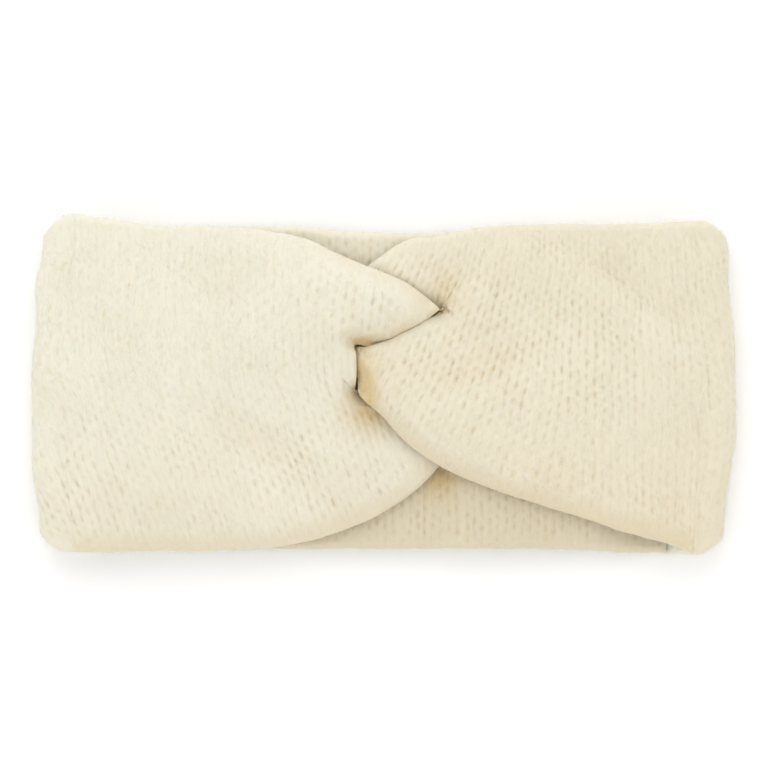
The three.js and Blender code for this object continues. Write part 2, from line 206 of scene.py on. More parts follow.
def weights_at(shares):
    """Weights of the seven points of a section across it (clamped cubic spline)."""
    knots = np.array([0, 0, 0, 0, 0.25, 0.5, 0.75, 1, 1, 1, 1])
    at = np.clip(shares, 0, 1 - 1e-9)[:, None]
    w = ((at >= knots[:-1]) & (at < knots[1:])).astype(float)
    for degree in (1, 2, 3):
        n = w.shape[1] - 1
        rise = knots[degree:degree + n] - knots[:n]
        fall = knots[degree + 1:degree + 1 + n] - knots[1:1 + n]
        up = np.where(rise > 0, (at - knots[:n]) / np.where(rise > 0, rise, 1), 0)
        down = np.where(fall > 0, (knots[degree + 1:degree + 1 + n] - at) / np.where(fall > 0, fall, 1), 0)
        w = up * w[:, :n] + down * w[:, 1:n + 1]
    return w


def wrap_surface(wrap, stations, shares):
    """The middle of a wrap's wall, at shares of the way across each station."""
    net = np.array([section_at(wrap, s) for s in stations])
    return np.einsum("mk,nkc->nmc", weights_at(shares), net)


def back_surface(along, shares):
    """The middle of the back panel's wall, at shares of the way along and across."""
    reach = SEAM_REACH - SEAM_GAP * SEAM_GAP_KEPT
    leaving = np.sin(np.pi * np.clip(along, 0, 1)) ** BACK_BOW_POWER
    left, right = LEFT["net"][0][:, 1], RIGHT["net"][0][:, 1]

    def rim(k, middle):
        edge = left[k] + (right[k] - left[k]) * along
        return edge + (middle - edge) * leaving

    low, top = rim(0, HALF_WIDTH * BACK_LOW_SHARE), rim(-1, HALF_WIDTH * BACK_TOP_SHARE)
    y = low[:, None] + (top - low)[:, None] * shares
    x = np.repeat((-reach + 2 * reach * along)[:, None], len(shares), 1)
    return np.stack([x, y, np.full(y.shape, BACK_Z)], -1)


# Random values repeat after this many cells or stitches
LATTICE = 64


def smooth(x):
    """An even rise from 0 to 1 while x goes from 0 to 1."""
    x = np.clip(x, 0, 1)
    return x * x * (3 - 2 * x)


def unit(vectors):
    return vectors / np.maximum(np.linalg.norm(vectors, axis=-1, keepdims=True), 1e-9)


def right_of(way):
    """The direction in plan at right angles to a line's own, on its right."""
    return np.stack([way[:, 1], -way[:, 0]], 1)


def even_out(line, rounds):
    """Rounds a line of values off in place; its two ends stay."""
    for _ in range(rounds):
        line[1:-1] = (line[:-2] + 2 * line[1:-1] + line[2:]) / 4


def run_along(line):
    """The distance along a line in plan at each of its points."""
    return np.concatenate([[0], np.cumsum(np.linalg.norm(np.diff(line, axis=0), axis=1))])


def near_line(x, y, line, reach):
    """True in the box round a line in plan, grown by the reach."""
    return ((x > line[:, 0].min() - reach) & (x < line[:, 0].max() + reach)
            & (y > line[:, 1].min() - reach) & (y < line[:, 1].max() + reach))


def between(table, i, j, a, b):
    """Values between four neighbours of a table that repeats."""
    rows, columns = table.shape
    v = [[table[(i + p) % rows, (j + q) % columns] for q in (0, 1)] for p in (0, 1)]
    return (v[0][0] * (1 - a) + v[1][0] * a) * (1 - b) + (v[0][1] * (1 - a) + v[1][1] * a) * b


def noise(x, y, seed):
    """Smooth random values between -1 and 1 over the plane, one lattice cell per unit."""
    table = np.random.default_rng(seed).random((LATTICE, LATTICE)) * 2 - 1
    i, j = np.floor(x).astype(int), np.floor(y).astype(int)
    return between(table, i, j, smooth(x - i), smooth(y - j))


def lengths(points, axis):
    """The distance along each line of a grid of points."""
    step = np.linalg.norm(np.diff(points, axis=axis), axis=2)
    start = np.zeros_like(np.take(step, [0], axis))
    return np.concatenate([start, np.cumsum(step, axis)], axis)


def rim_share(distance):
    """The part of the half thickness that a rolled rim has at a distance in from its edge."""
    return np.sqrt(1 - (1 - np.clip(distance / RIM_ROUND, 0, 1)) ** 2)


# One stitch as a tile of heights that repeats, and how far down it goes between the yarns
TILE_W, TILE_C = 64, 48
TILE_FLOOR = -2.2
BELOW_ALL = -9.0


def stitch_tile(yarn=1.32, bend=0.045, reach=0.98, depth=0.75):
    """The height of one stitch, as its yarn loops stand out of the cloth."""
    t = np.linspace(0, 2 * np.pi, 240, endpoint=False)
    lx = t / (2 * np.pi) * WALE + bend * WALE * np.sin(2 * t)
    ly = reach * COURSE * np.cos(t)
    lz = -depth * np.cos(2 * t)
    across = (np.arange(TILE_W) + 0.5) / TILE_W * WALE
    along = (np.arange(TILE_C) + 0.5) / TILE_C * COURSE
    gx, gy = np.meshgrid(across, along, indexing="ij")
    height = np.full(gx.shape, BELOW_ALL)
    for i in (-1, 0, 1):
        for j in (-2, -1, 0, 1, 2, 3):
            d2 = (gx[..., None] - lx - i * WALE) ** 2 + (gy[..., None] - ly - j * COURSE) ** 2
            z = np.where(d2 < yarn ** 2, lz + np.sqrt(np.maximum(yarn ** 2 - d2, 0)), BELOW_ALL)
            height = np.maximum(height, z.max(-1))
    height -= height.max()
    height = np.maximum(height, TILE_FLOOR)
    for _ in range(3):
        beside = np.roll(height, 1, 0) + np.roll(height, -1, 0)
        above = np.roll(height, 1, 1) + np.roll(height, -1, 1)
        height = (height + beside + above) / 5
    return height - height.max()


TILE = stitch_tile()


def stitch_height(wale, course):
    """Height of the knit at stitch coordinates, from 0 on the yarn down to about -2 mm."""
    x, y = (wale % 1) * TILE_W - 0.5, (course % 1) * TILE_C - 0.5
    i, j = np.floor(x).astype(int), np.floor(y).astype(int)
    return between(TILE, i, j, x - i, y - j)


def slits(wale, course, seed):
    """Openings between the yarn legs, each with its own size and place, from 0 to about 1."""
    rng = np.random.default_rng(seed)
    size, push, slide = rng.random((3, 2, LATTICE, LATTICE))
    total = np.zeros_like(wale)
    for half in (0, 1):
        i0 = np.floor(wale - half / 2 + 0.5).astype(int)
        j0 = np.floor(course - half / 2 + 0.5).astype(int)
        for di in (-1, 0, 1):
            for dj in (-1, 0, 1):
                i, j = i0 + di, j0 + dj
                at = (half, i % LATTICE, j % LATTICE)
                across = (wale - i - half / 2 - 0.10 * (push[at] - 0.5)) * WALE
                along = (course - j - half / 2 - 0.16 * (slide[at] - 0.5)) * COURSE
                deep = 0.25 + 0.75 * size[at]
                long_ = OPENING_LONG + OPENING_MORE * size[at]
                total += deep * np.exp(-(across / OPENING_WIDE) ** 2 - (along / long_) ** 2)
    return np.minimum(total, 1.1)


def stitches(along, across, slant, seeds, yarn, opening):
    """Stitch coordinates over the cloth, the openings in it and the height of the knit."""
    wale = (along + slant) / WALE + 0.10 * noise(along / 9, across / 9, seeds[0])
    course = across / COURSE + 0.12 * noise(along / 11, across / 11, seeds[1])
    open_ = slits(wale, course, seeds[2])
    return wale, course, open_, yarn * stitch_height(wale, course) - opening * open_


def soft_fold(x, y, left, right, points):
    """A fold along a line of points: the value at its nearest point, fading out to each side."""
    at = np.array(points, float)
    run = run_along(at[:, :2])
    fine = np.linspace(0, run[-1], int(run[-1] / 1.2) + 3)
    line = np.stack([np.interp(fine, run, at[:, k]) for k in range(3)], 1)
    even_out(line, 6)
    way = unit(np.gradient(line[:, :2], axis=0))
    close = near_line(x, y, line, 2.6 * max(left, right))
    dx, dy = x[close][:, None] - line[:, 0], y[close][:, None] - line[:, 1]
    d2 = dx * dx + dy * dy
    least = d2.min(1, keepdims=True)
    weight = np.exp(-(d2 - least) / (2 * 1.6 ** 2))
    weight /= weight.sum(1, keepdims=True)
    side = ((way[:, 0] * dy - way[:, 1] * dx) / np.sqrt(d2 + 0.04) * weight).sum(1)
    value = (line[:, 2] * weight).sum(1)
    wide = right + (left - right) * (1 + np.clip(side, -1, 1)) / 2
    fold = np.zeros(x.shape)
    fold[close] = value * np.exp(-least[:, 0] / wide ** 2)
    return fold


def make_mesh(name, points, quads, tris, uv, shade, material):
    """A smooth mesh in millimetres, with its stitch coordinates and its painted warm shade at each point."""
    mesh = bpy.data.meshes.new(name)
    nq, nt = len(quads), len(tris)
    mesh.vertices.add(len(points))
    mesh.vertices.foreach_set("co", (points * MM).astype(np.float32).ravel())
    loops = np.concatenate([np.asarray(quads, int).ravel(), np.asarray(tris, int).ravel()]).astype(np.int32)
    mesh.loops.add(len(loops))
    mesh.loops.foreach_set("vertex_index", loops)
    mesh.polygons.add(nq + nt)
    starts = np.concatenate([np.arange(nq) * 4, nq * 4 + np.arange(nt) * 3]).astype(np.int32)
    mesh.polygons.foreach_set("loop_start", starts)
    mesh.polygons.foreach_set("use_smooth", np.ones(nq + nt, bool))
    mesh.update(calc_edges=True)
    layer = mesh.uv_layers.new(name="stitches")
    layer.data.foreach_set("uv", uv[loops].astype(np.float32).ravel())
    # the painted warm shade is kept on each point as an attribute
    tint = mesh.attributes.new("painted_shade", "FLOAT", "POINT")
    tint.data.foreach_set("value", shade.astype(np.float32))
    mesh.materials.append(material)
    obj = bpy.data.objects.new(name, mesh)
    bpy.context.scene.collection.objects.link(obj)
    return obj


def strip_tris(outer, inner, at, flip):
    """Triangles between a fine row of points and a coarse one, whose points are at these places in it."""
    strip = []
    n, m = len(outer), len(inner)
    i = j = 0
    while i < n - 1 or j < m - 1:
        if j == m - 1 or (i < n - 1 and i + 1 <= (at[j] + at[j + 1]) / 2):
            strip.append((outer[i], outer[i + 1], inner[j]))
            i += 1
        else:
            strip.append((outer[i], inner[j + 1], inner[j]))
            j += 1
    tris = np.array(strip)
    return tris[:, ::-1] if flip else tris


def facing_out(points, quads, tris):
    """The faces of a closed mesh, turned over if they face inwards."""
    a, b, c, d = (points[quads[:, k]] for k in range(4))
    volume = (a * np.cross(b, c)).sum() + (a * np.cross(c, d)).sum()
    return (quads[:, ::-1], tris[:, ::-1]) if volume < 0 else (quads, tris)


def grid_quads(index):
    """The four corners of each cell of a grid of point numbers."""
    return np.stack([index[:-1, :-1], index[1:, :-1], index[1:, 1:], index[:-1, 1:]], -1).reshape(-1, 4)


def with_ends(row):
    """A row of points with its first and last one repeated."""
    return np.concatenate([row[:1], row, row[-1:]])


def cloth(name, outer, inner, uv, painted_shade, every, material):
    """A closed cloth wall: the outer face with its stitches at full detail, the inner face coarse."""
    nu, nv = painted_shade.shape
    ends = np.arange(nu - END_ROWS, nu, 2)
    ku = np.unique(np.concatenate([[0], np.arange(1, nu - 1, every), ends, [nu - 2, nu - 1]]))
    kv = np.unique(np.concatenate([[0], np.arange(1, nv - 1, every), [nv - 2, nv - 1]]))
    inner_i, inner_j = ku[1:-1], kv[1:-1]
    inner = inner[np.ix_(inner_i, inner_j)]
    index = np.arange(nu * nv).reshape(nu, nv)
    low = nu * nv + np.arange(inner.shape[0] * inner.shape[1]).reshape(inner.shape[:2])
    quads = np.concatenate([grid_quads(index), grid_quads(low)[:, ::-1]])
    tris = np.concatenate([
        strip_tris(index[:, 0], with_ends(low[:, 0]), ku, True),
        strip_tris(index[:, -1], with_ends(low[:, -1]), ku, False),
        strip_tris(index[0, :], with_ends(low[0, :]), kv, False),
        strip_tris(index[-1, :], with_ends(low[-1, :]), kv, True),
    ])
    good = (tris[:, 0] != tris[:, 1]) & (tris[:, 1] != tris[:, 2]) & (tris[:, 0] != tris[:, 2])
    points = np.concatenate([outer.reshape(-1, 3), inner.reshape(-1, 3)])
    both_uv = np.concatenate([uv.reshape(-1, 2), uv[np.ix_(inner_i, inner_j)].reshape(-1, 2)])
    # painted shade on the outer face, none on the inner face
    both_painted_shade = np.concatenate([painted_shade.ravel(), np.zeros(low.size)])
    quads, tris = facing_out(points, quads, tris[good])
    return make_mesh(name, points, quads, tris, both_uv, both_painted_shade, material)


# The wool: its colour, and what the colour is multiplied by in its darker patches, at the full
# painted warm shade and where painted shade dims a piece
CREAM = (0.805, 0.775, 0.655)
FIBRE_LIGHTER = 1.04
PATCH_SHARE = (0.965, 0.955, 0.93)
PAINTED_SHADE_SHARE = (0.845, 0.68, 0.44)
PAINTED_DIM_SHARE = (0.7, 0.69, 0.68)


def times(colour, share):
    """A colour multiplied by shares, opaque."""
    return (*[c * k for c, k in zip(colour, share)], 1)


def wool(name, colour):
    """Brushed wool: patches of tone, the painted warm shade, painted dimming, and a fine fibre relief."""
    material = bpy.data.materials.new(name)
    material.use_nodes = True
    tree = material.node_tree
    nodes, link = tree.nodes, tree.links.new
    bsdf = nodes["Principled BSDF"]
    bsdf.inputs["Roughness"].default_value = 0.92
    bsdf.inputs["Specular IOR Level"].default_value = 0.15
    bsdf.inputs["Sheen Weight"].default_value = 0.2
    bsdf.inputs["Sheen Roughness"].default_value = 0.55
    bsdf.inputs["Sheen Tint"].default_value = (1.0, 0.97, 0.9, 1)
    bsdf.inputs["Subsurface Weight"].default_value = 0.35
    bsdf.inputs["Subsurface Radius"].default_value = (1.0, 0.75, 0.45)
    bsdf.inputs["Subsurface Scale"].default_value = 0.0016
    place = nodes.new("ShaderNodeTexCoord")
    patch = nodes.new("ShaderNodeTexNoise")
    patch.inputs["Scale"].default_value = 38
    patch.inputs["Detail"].default_value = 3
    link(place.outputs["Object"], patch.inputs["Vector"])
    ramp = nodes.new("ShaderNodeValToRGB")
    ramp.color_ramp.elements[0].position = 0.3
    ramp.color_ramp.elements[0].color = times(colour, PATCH_SHARE)
    ramp.color_ramp.elements[1].position = 0.7
    ramp.color_ramp.elements[1].color = (*colour, 1)
    link(patch.outputs["Fac"], ramp.inputs["Fac"])
    # painted warm shade read from each point: it mixes the colour towards its shaded share
    painted_shade = nodes.new("ShaderNodeAttribute")
    painted_shade.attribute_name = "painted_shade"
    deep = nodes.new("ShaderNodeMix")
    deep.data_type = "RGBA"
    deep.inputs["B"].default_value = times(colour, PAINTED_SHADE_SHARE)
    link(painted_shade.outputs["Fac"], deep.inputs["Factor"])
    link(ramp.outputs["Color"], deep.inputs["A"])
    # painted dimming: painted shade that multiplies a piece's colour darker
    painted_dim = nodes.new("ShaderNodeAttribute")
    painted_dim.attribute_name = "painted_dim"
    painted_dark = nodes.new("ShaderNodeMix")
    painted_dark.data_type = "RGBA"
    painted_dark.blend_type = "MULTIPLY"
    painted_dark.inputs["B"].default_value = (*PAINTED_DIM_SHARE, 1)
    link(painted_dim.outputs["Fac"], painted_dark.inputs["Factor"])
    link(deep.outputs["Result"], painted_dark.inputs["A"])
    link(painted_dark.outputs["Result"], bsdf.inputs["Base Color"])
    fibre = nodes.new("ShaderNodeTexNoise")
    fibre.inputs["Scale"].default_value = 1.0
    fibre.inputs["Detail"].default_value = 5
    fibre.inputs["Roughness"].default_value = 0.62
    fibre.inputs["Distortion"].default_value = 0.6
    stretch = nodes.new("ShaderNodeMapping")
    stretch.inputs["Scale"].default_value = (7.0, 1.6, 1.0)
    stitches = nodes.new("ShaderNodeUVMap")
    stitches.uv_map = "stitches"
    link(stitches.outputs["UV"], stretch.inputs["Vector"])
    link(stretch.outputs["Vector"], fibre.inputs["Vector"])
    bump = nodes.new("ShaderNodeBump")
    bump.inputs["Strength"].default_value = 0.6
    bump.inputs["Distance"].default_value = 0.0006
    link(fibre.outputs["Fac"], bump.inputs["Height"])
    link(bump.outputs["Normal"], bsdf.inputs["Normal"])
    return material


WOOL = wool("cream_wool", CREAM)
FUZZ = wool("cream_wool_fuzz", tuple(min(1, c * FIBRE_LIGHTER) for c in CREAM))

# Soft folds of each wrap in plan: width to the left and to the right of the line, in
# millimetres, then the line's points with the height that the cloth rises there.
LEFT_FOLDS = [
    (8, 9, [(-72, -6, -1.0), (-57, -11, -1.5), (-35, -23, -1.8), (-15, -39, -1.5)]),
    (12, 12, [(-75, 16, 1.2), (-42, 12, 1.4)]),
    (12, 12, [(-95, -38, 1.0), (-42, -41, 1.4)]),
    (7, 5, [(-11, -4, -0.6), (-8, -10, -1.0), (-2, -15, -0.6), (8, -21, 0)]),
    (7, 4, [(-13.0, -2, 1.4), (-11.0, 3, 2.2), (-11.0, 8, 2.2), (-13, 14, 1.0)]),
    (7, 8, [(2, -24, 0.6), (8, -27, 0.6)]),
]
RIGHT_FOLDS = [
    (12, 2.4, [(16, 21.5, -1.6), (18.2, 24.8, -2.4), (22.3, 29.3, -2.4), (26.3, 33.5, -2.0), (30, 38, -1.2),
               (33, 44, 0)]),
    (5, 8, [(24, 24, 1.4), (37, 43, 1.5), (58, 37, 1.5), (78, 24, 1.5), (105, -1, 1.2)]),
    (9, 6, [(52, 44, -1.0), (75, 36, -1.6), (96, 22, -1.2)]),
    (8, 8, [(104, -14, -1.4), (114, -22, -1.6)]),
    (8, 8, [(5, -1, -1.0), (32, 4, -1.5), (52, 11, -0.8)]),
    (4, 5, [(-2, 40.5, 1.0), (5, 36.5, 1.5), (12, 32, 1.5), (17, 27.8, 1.0)]),
]
# Where the two wraps meet, from the pocket up round the nose of the right wrap to the tip
CREASE = [
    (-9.4, -2.9), (-9.2, 4), (-9.3, 9), (-9.9, 12.3), (-6.7, 12.1), (-2.7, 12.8), (1.3, 14),
    (5.7, 16.3), (11, 18.7), (15, 21.3), (18.4, 23.8),
]
# Where a long edge is moved in plan: from and to which share across, centre, spread and shift
LEFT_EDGES = [(0.72, 1.0, -8, 15, -2.7)]
RIGHT_EDGES = [(0.8, 1.0, 7, 7, 2.6)]
# The left wrap's edge starts lower, hidden under the right wrap
LEFT_LIP = [(1.5, -6.6), (-4.6, -3.4)]
CREASE_RUN = 15.0
PATH_POINTS = 300
# How far each wrap keeps back from that line, by the share along it; below zero it goes under
# the other one, which lies higher there
LEFT_GAP = [
    (0, 0.6), (0.08, 0.15), (0.27, 0.1), (0.33, 0.55), (0.42, 0.3), (0.5, -0.6), (0.57, -1.5), (0.86, -1.4),
    (0.92, 0.3), (1, 0.3),
]
RIGHT_GAP = [
    (0, 0.4), (0.1, 0.2), (0.16, -1.3), (0.25, -1.6), (0.33, 0.4), (0.42, 0.25), (0.5, 0.0), (0.86, 0.0),
    (0.92, 0.3), (1, 0.3),
]
# By the share along each wrap's own end: how wide its turn towards the crease is, and the height
# that its middle ends at
LEFT_END = [
    (0, 6, 12.6), (0.15, 6, 12.8), (0.2, 6, 13.8), (0.25, 7, 19.2), (0.29, 8, 20.2), (0.42, 8, 20.3),
    (0.475, 6, 17.8), (0.53, 8, 17.8), (0.59, 9, 18.1), (0.88, 9, 18.2), (0.95, 7, 18.7), (1, 6, 19.3),
]
RIGHT_END = [
    (0, 6, 16.6), (0.07, 8, 17.2), (0.24, 8.5, 17.5), (0.31, 6, 16.4), (0.36, 6, 17.0), (0.43, 6, 19.0),
    (0.5, 7, 20.0), (0.86, 7, 20.0), (0.92, 7, 18.6), (1, 5, 14.8),
]
# A point far from the crease: its distance, and a turn that does nothing there
FAR_TURN = (99.0, 8.0, 15.0, 20.0)
# How far the long edges roll down, by place along the band
LEFT_LOW_DROOP = [(-117, 0.5), (-60, 1.0), (-30, 1.2), (18, 1.2)]
LEFT_TOP_DROOP = [
    (-117, 0.3), (-50, 1.0), (-29, 1.5), (-20, 2.4), (-10, 1.8), (-2, 2.4), (7, 2.8), (14, 3.0), (18, 2.0),
]
RIGHT_LOW_DROOP = [
    (-8, 0.5), (-4, 2.0), (0, 2.8), (12, 2.6), (18, 3.0), (24, 4.2), (35, 3.8), (55, 2.5), (75, 1.5),
    (95, 0.5), (117, 0),
]
RIGHT_TOP_DROOP = [(-13, 0), (-3, 1.0), (5, 1.5), (17, 1.0), (40, 0.5), (117, 0)]
# How far the back panel is raised under the wraps' long edges, by place along the band
BACK_LOW_LIFT = [
    (-95, 0), (-60, 5.0), (-30, 5.8), (13, 5.8), (26, 8.6), (38, 7.9), (55, 6.8), (70, 5.6), (82, 3.0),
    (92, 0),
]
BACK_TOP_LIFT = [
    (-92, 0), (-60, 5.0), (-35, 6.6), (-22, 8.0), (-12, 8.0), (-2, 6.6), (6, 5.5), (30, 5.0), (60, 4.5),
    (92, 0),
]
# Soft spots of painted warm shade: centre, reach along and across, and strength
LEFT_SHADE_SPOTS = [(-4.5, -9.5, 8, 7, 0.9), (-9.5, -4.0, 3, 3, 0.5), (-7.5, 13.4, 4, 2, 0.5)]
RIGHT_SHADE_SPOTS = [(18.5, 25.5, 3.5, 3.5, 0.3), (20, 29, 7, 6, 0.2)]
# flank is how strong the painted shade is on the side of an end that dives under the other wrap
LEFT.update(
    arm=(0.5, 1.0), lip=LEFT_LIP, gap=LEFT_GAP, end=LEFT_END, edges=LEFT_EDGES, folds=LEFT_FOLDS,
    droops=(LEFT_LOW_DROOP, LEFT_TOP_DROOP), spots=LEFT_SHADE_SPOTS, flank=0.5,
)
RIGHT.update(
    arm=(0.0, 0.5), lip=[], gap=RIGHT_GAP, end=RIGHT_END, edges=RIGHT_EDGES, folds=RIGHT_FOLDS,
    droops=(RIGHT_LOW_DROOP, RIGHT_TOP_DROOP), spots=RIGHT_SHADE_SPOTS, flank=1.15,
)


def crease_path(wrap=None):
    """The crease as an even row of points, on a wrap's own side of it if one is given."""
    lip = wrap["lip"] if wrap else []
    line = np.array(lip + CREASE)
    run = run_along(line)
    fine = np.linspace(0, run[-1], PATH_POINTS)
    path = np.stack([np.interp(fine, run, line[:, 0]), np.interp(fine, run, line[:, 1])], 1)
    even_out(path, 24)
    if wrap is None:
        return path
    start = run[len(lip)]
    share = (fine - start) / (run[-1] - start)
    gap = np.interp(share, *np.array(wrap["gap"]).T)
    even_out(gap, 12)
    return path + right_of(unit(np.gradient(path, axis=0))) * (wrap["side"] * gap)[:, None]


def end_turn(wrap, x, y, high, whole):
    """Each point's distance in plan from its wrap's end, and the turn it takes part in there.

    The turn has a width, the height that it ends at and the height that it starts from. The last
    value fades it out beyond the crease's far end.
    """
    path = crease_path(wrap)
    way = unit(np.gradient(path, axis=0))
    table = np.array(wrap["end"])
    wide, low = (np.interp(np.linspace(0, 1, PATH_POINTS), table[:, 0], table[:, k]) for k in (1, 2))
    begin = path + right_of(way) * (wrap["side"] * wide)[:, None]
    known = [v[whole][::3] for v in (x, y, high)]
    at = ((begin[:, :1] - known[0]) ** 2 + (begin[:, 1:] - known[1]) ** 2).argmin(1)
    full = known[2][at]
    even_out(full, 150)
    found = [np.full(x.shape, v) for v in FAR_TURN]
    close = near_line(x, y, path, 11)
    d2 = (x[close][:, None] - path[::2, 0]) ** 2 + (y[close][:, None] - path[::2, 1]) ** 2
    least = d2.min(1)
    weight = np.exp(-(d2 - least[:, None]) / (2 * (0.5 + 0.9 * np.sqrt(least[:, None])) ** 2))
    weight /= weight.sum(1, keepdims=True)
    found[0][close] = np.sqrt(least)
    for k, value in ((1, wide), (2, low), (3, full)):
        found[k][close] = (value[::2] * weight).sum(1)
    beyond = (x - path[-1, 0]) * way[-1, 0] + (y - path[-1, 1]) * way[-1, 1]
    return found, 1 - smooth(beyond / 2.5)


def even_stations(wrap, start, stop, step):
    """Stations between two, spaced evenly along the cloth."""
    s = np.linspace(start, stop, 400)
    at = lengths(wrap_surface(wrap, s, np.array([0.2, 0.5, 0.8])), 0).mean(1)
    count = max(2, int(round(at[-1] / step)) + 1)
    return np.interp(np.linspace(0, at[-1], count), at, s)


# How the real band's outline strays from the even one, in millimetres: along x for its long
# edges, along y for its side folds
TOP_STRAY = [
    (-114, -2.2), (-105, 0.6), (-97, -0.5), (-80, -1.0), (-50, 0.7), (-25, 0.9), (-12, -0.6), (18, -1.0),
    (30, 0), (60, -0.2), (82, -1.0), (112, -0.9),
]
LOW_STRAY = [(-114, -0.3), (0, 0), (60, 0.1), (78, -0.9), (105, -1.0), (114, 0)]
LEFT_STRAY = [
    (-50, 0.7), (-41, 0.7), (-29, -0.6), (-20, 0), (0, 0.3), (17, 1.1), (24, 0.9), (32, 0.1), (39, 1.1),
    (46, 1.6), (54, 0.3),
]
RIGHT_STRAY = [
    (-50, -0.6), (-41, -1.2), (-27, -0.4), (-18, 0.7), (0, -0.2), (17, -0.3), (24, -1.2), (32, -1.8),
    (41, -0.9), (54, -1.6),
]


def stray(at, table):
    fine = np.linspace(-125, 125, 251)
    line = np.interp(fine, *np.array(table, float).T)
    even_out(line, 4)
    return np.interp(at, fine, line)


def waver(points):
    """Moves points in plan, so that the outline is as uneven as the real one's."""
    x, y = points[..., 0], points[..., 1]
    ripple = 0.22 * noise(x / 6, y / 40, 71) + 0.12 * noise(x / 2.4, y / 40, 72)
    up = (stray(x, TOP_STRAY) + ripple) * smooth((y - 28) / 24)
    low = (stray(x, LOW_STRAY) + ripple) * smooth((-y - 28) / 24)
    ripple = 0.2 * noise(x / 40, y / 5, 73)
    left = (stray(y, LEFT_STRAY) + ripple) * smooth((-x - 84) / 28)
    right = (stray(y, RIGHT_STRAY) + ripple) * smooth((x - 84) / 28)
    return points + np.stack([left + right, up + low, 0 * x], -1)


def surface_normal(points, like):
    """The unit normal of a grid of points, on the side of the direction that it is like."""
    turn = unit(np.cross(np.gradient(points, axis=0), np.gradient(points, axis=1)))
    return turn * np.where((turn * like).sum(2, keepdims=True) < 0, -1, 1)


def lean(wrap, x, y):
    """How far the columns of stitches lean over, as a shift along the band."""
    if wrap["side"] > 0:
        near = 1 - smooth((x - 5) / 75)
        far = smooth((x - 60) / 40)
        return -0.42 * (y - 10) * near + 0.10 * np.maximum(y - 5, 0) * far
    low = 0.17 * (y - 4 - np.hypot(y - 4, 10))
    tip = -0.16 * np.maximum(y - 5, 0) * smooth((x + 45) / 45)
    return low + tip


def hidden(wrap, x, y):
    """True where a wrap lies under the other one."""
    crease = crease_path()[PATH_POINTS // 2:]
    if wrap["side"] > 0:
        return (x < 17) & (y > np.interp(x, crease[:, 0], crease[:, 1]) + 3) & (y < 40 - 0.55 * (x + 10))
    return (x > -2) & (y < -6) & (y > -30) & (y > -9 - 0.9 * (x + 4))


def fuzz(node, points, normal, weight, count, seed):
    """Loose fibres that stand off the brushed cloth: thin tapered ribbons, three spans each."""
    rng = np.random.default_rng(seed)
    a, b = points[1:, :-1] - points[:-1, :-1], points[:-1, 1:] - points[:-1, :-1]
    area = np.linalg.norm(np.cross(a, b), axis=2) * weight[:-1, :-1]
    total = np.cumsum(area.ravel())
    pick = np.searchsorted(total, rng.random(count) * total[-1])
    i, j = np.unravel_index(np.minimum(pick, area.size - 1), area.shape)
    root = points[i, j] + a[i, j] * rng.random((count, 1)) + b[i, j] * rng.random((count, 1))
    n = normal[i, j]
    along = unit(a[i, j])
    across = np.cross(n, along)
    turn = rng.random(count) * 2 * np.pi
    flat = unit(along * np.cos(turn)[:, None] * 0.45 + across * np.sin(turn)[:, None] * 1.2)
    size = FIBRE_LENGTH[0] + FIBRE_LENGTH[1] * rng.random(count) ** 1.6
    rise = FIBRE_RISE[0] + FIBRE_RISE[1] * rng.random(count)
    bend = np.cross(n, flat) * (rng.random((count, 1)) - 0.5) * 1.6
    spine = []
    for step in range(4):
        u = step / 3
        height = rise * size * (u - 0.75 * u * u) - FIBRE_FLOOR
        spine.append(root + n * height[:, None] + (flat * u + bend * u * u) * (size * 0.85)[:, None])
    spine = np.array(spine)
    spine[..., 2] = np.maximum(spine[..., 2], FIBRE_FLOOR)
    way = unit(spine[3] - spine[0])
    roll = rng.random(count) * np.pi
    side = unit(np.cross(way, n))
    side = side * np.cos(roll)[:, None] + np.cross(way, side) * np.sin(roll)[:, None]
    thick = FIBRE_HALF[0] + FIBRE_HALF[1] * rng.random((count, 1))
    rings = []
    for step, scale in enumerate((1.0, 0.85, 0.55)):
        rings += [spine[step] - side * thick * scale, spine[step] + side * thick * scale]
    rings.append(spine[3])
    verts = np.stack(rings, 1).reshape(-1, 3)
    base = np.arange(count)[:, None] * len(rings)
    quads = np.concatenate([base + np.array([0, 1, 3, 2]), base + np.array([2, 3, 5, 4])])
    tris = base + np.array([4, 5, 6])
    plain = np.zeros(len(verts))
    obj = make_mesh(node + "_fuzz", verts, quads, tris, np.zeros((len(verts), 2)), plain, FUZZ)
    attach(obj, "root")


def wrap_grid(wrap, coarser):
    """A wrap's middle surface as a fine grid: its stations, its shares and its points."""
    stations = np.concatenate([
        [-2, -1.997], even_stations(wrap, -1.96, -1, RETURN_STEP)[:-1],
        even_stations(wrap, -1, 0, FOLD_STEP)[:-1],
        even_stations(wrap, 0, wrap["last"], FRONT_STEP * coarser),
    ])
    shares = np.linspace(0, 1, int(BAND_WIDTH / (ACROSS_STEP * coarser)) + 1)
    rim = RIM_ROUND / BAND_WIDTH * RIM_STEPS
    shares = np.unique(np.concatenate([shares, rim, 1 - rim]))
    return stations, shares, wrap_surface(wrap, stations, shares)


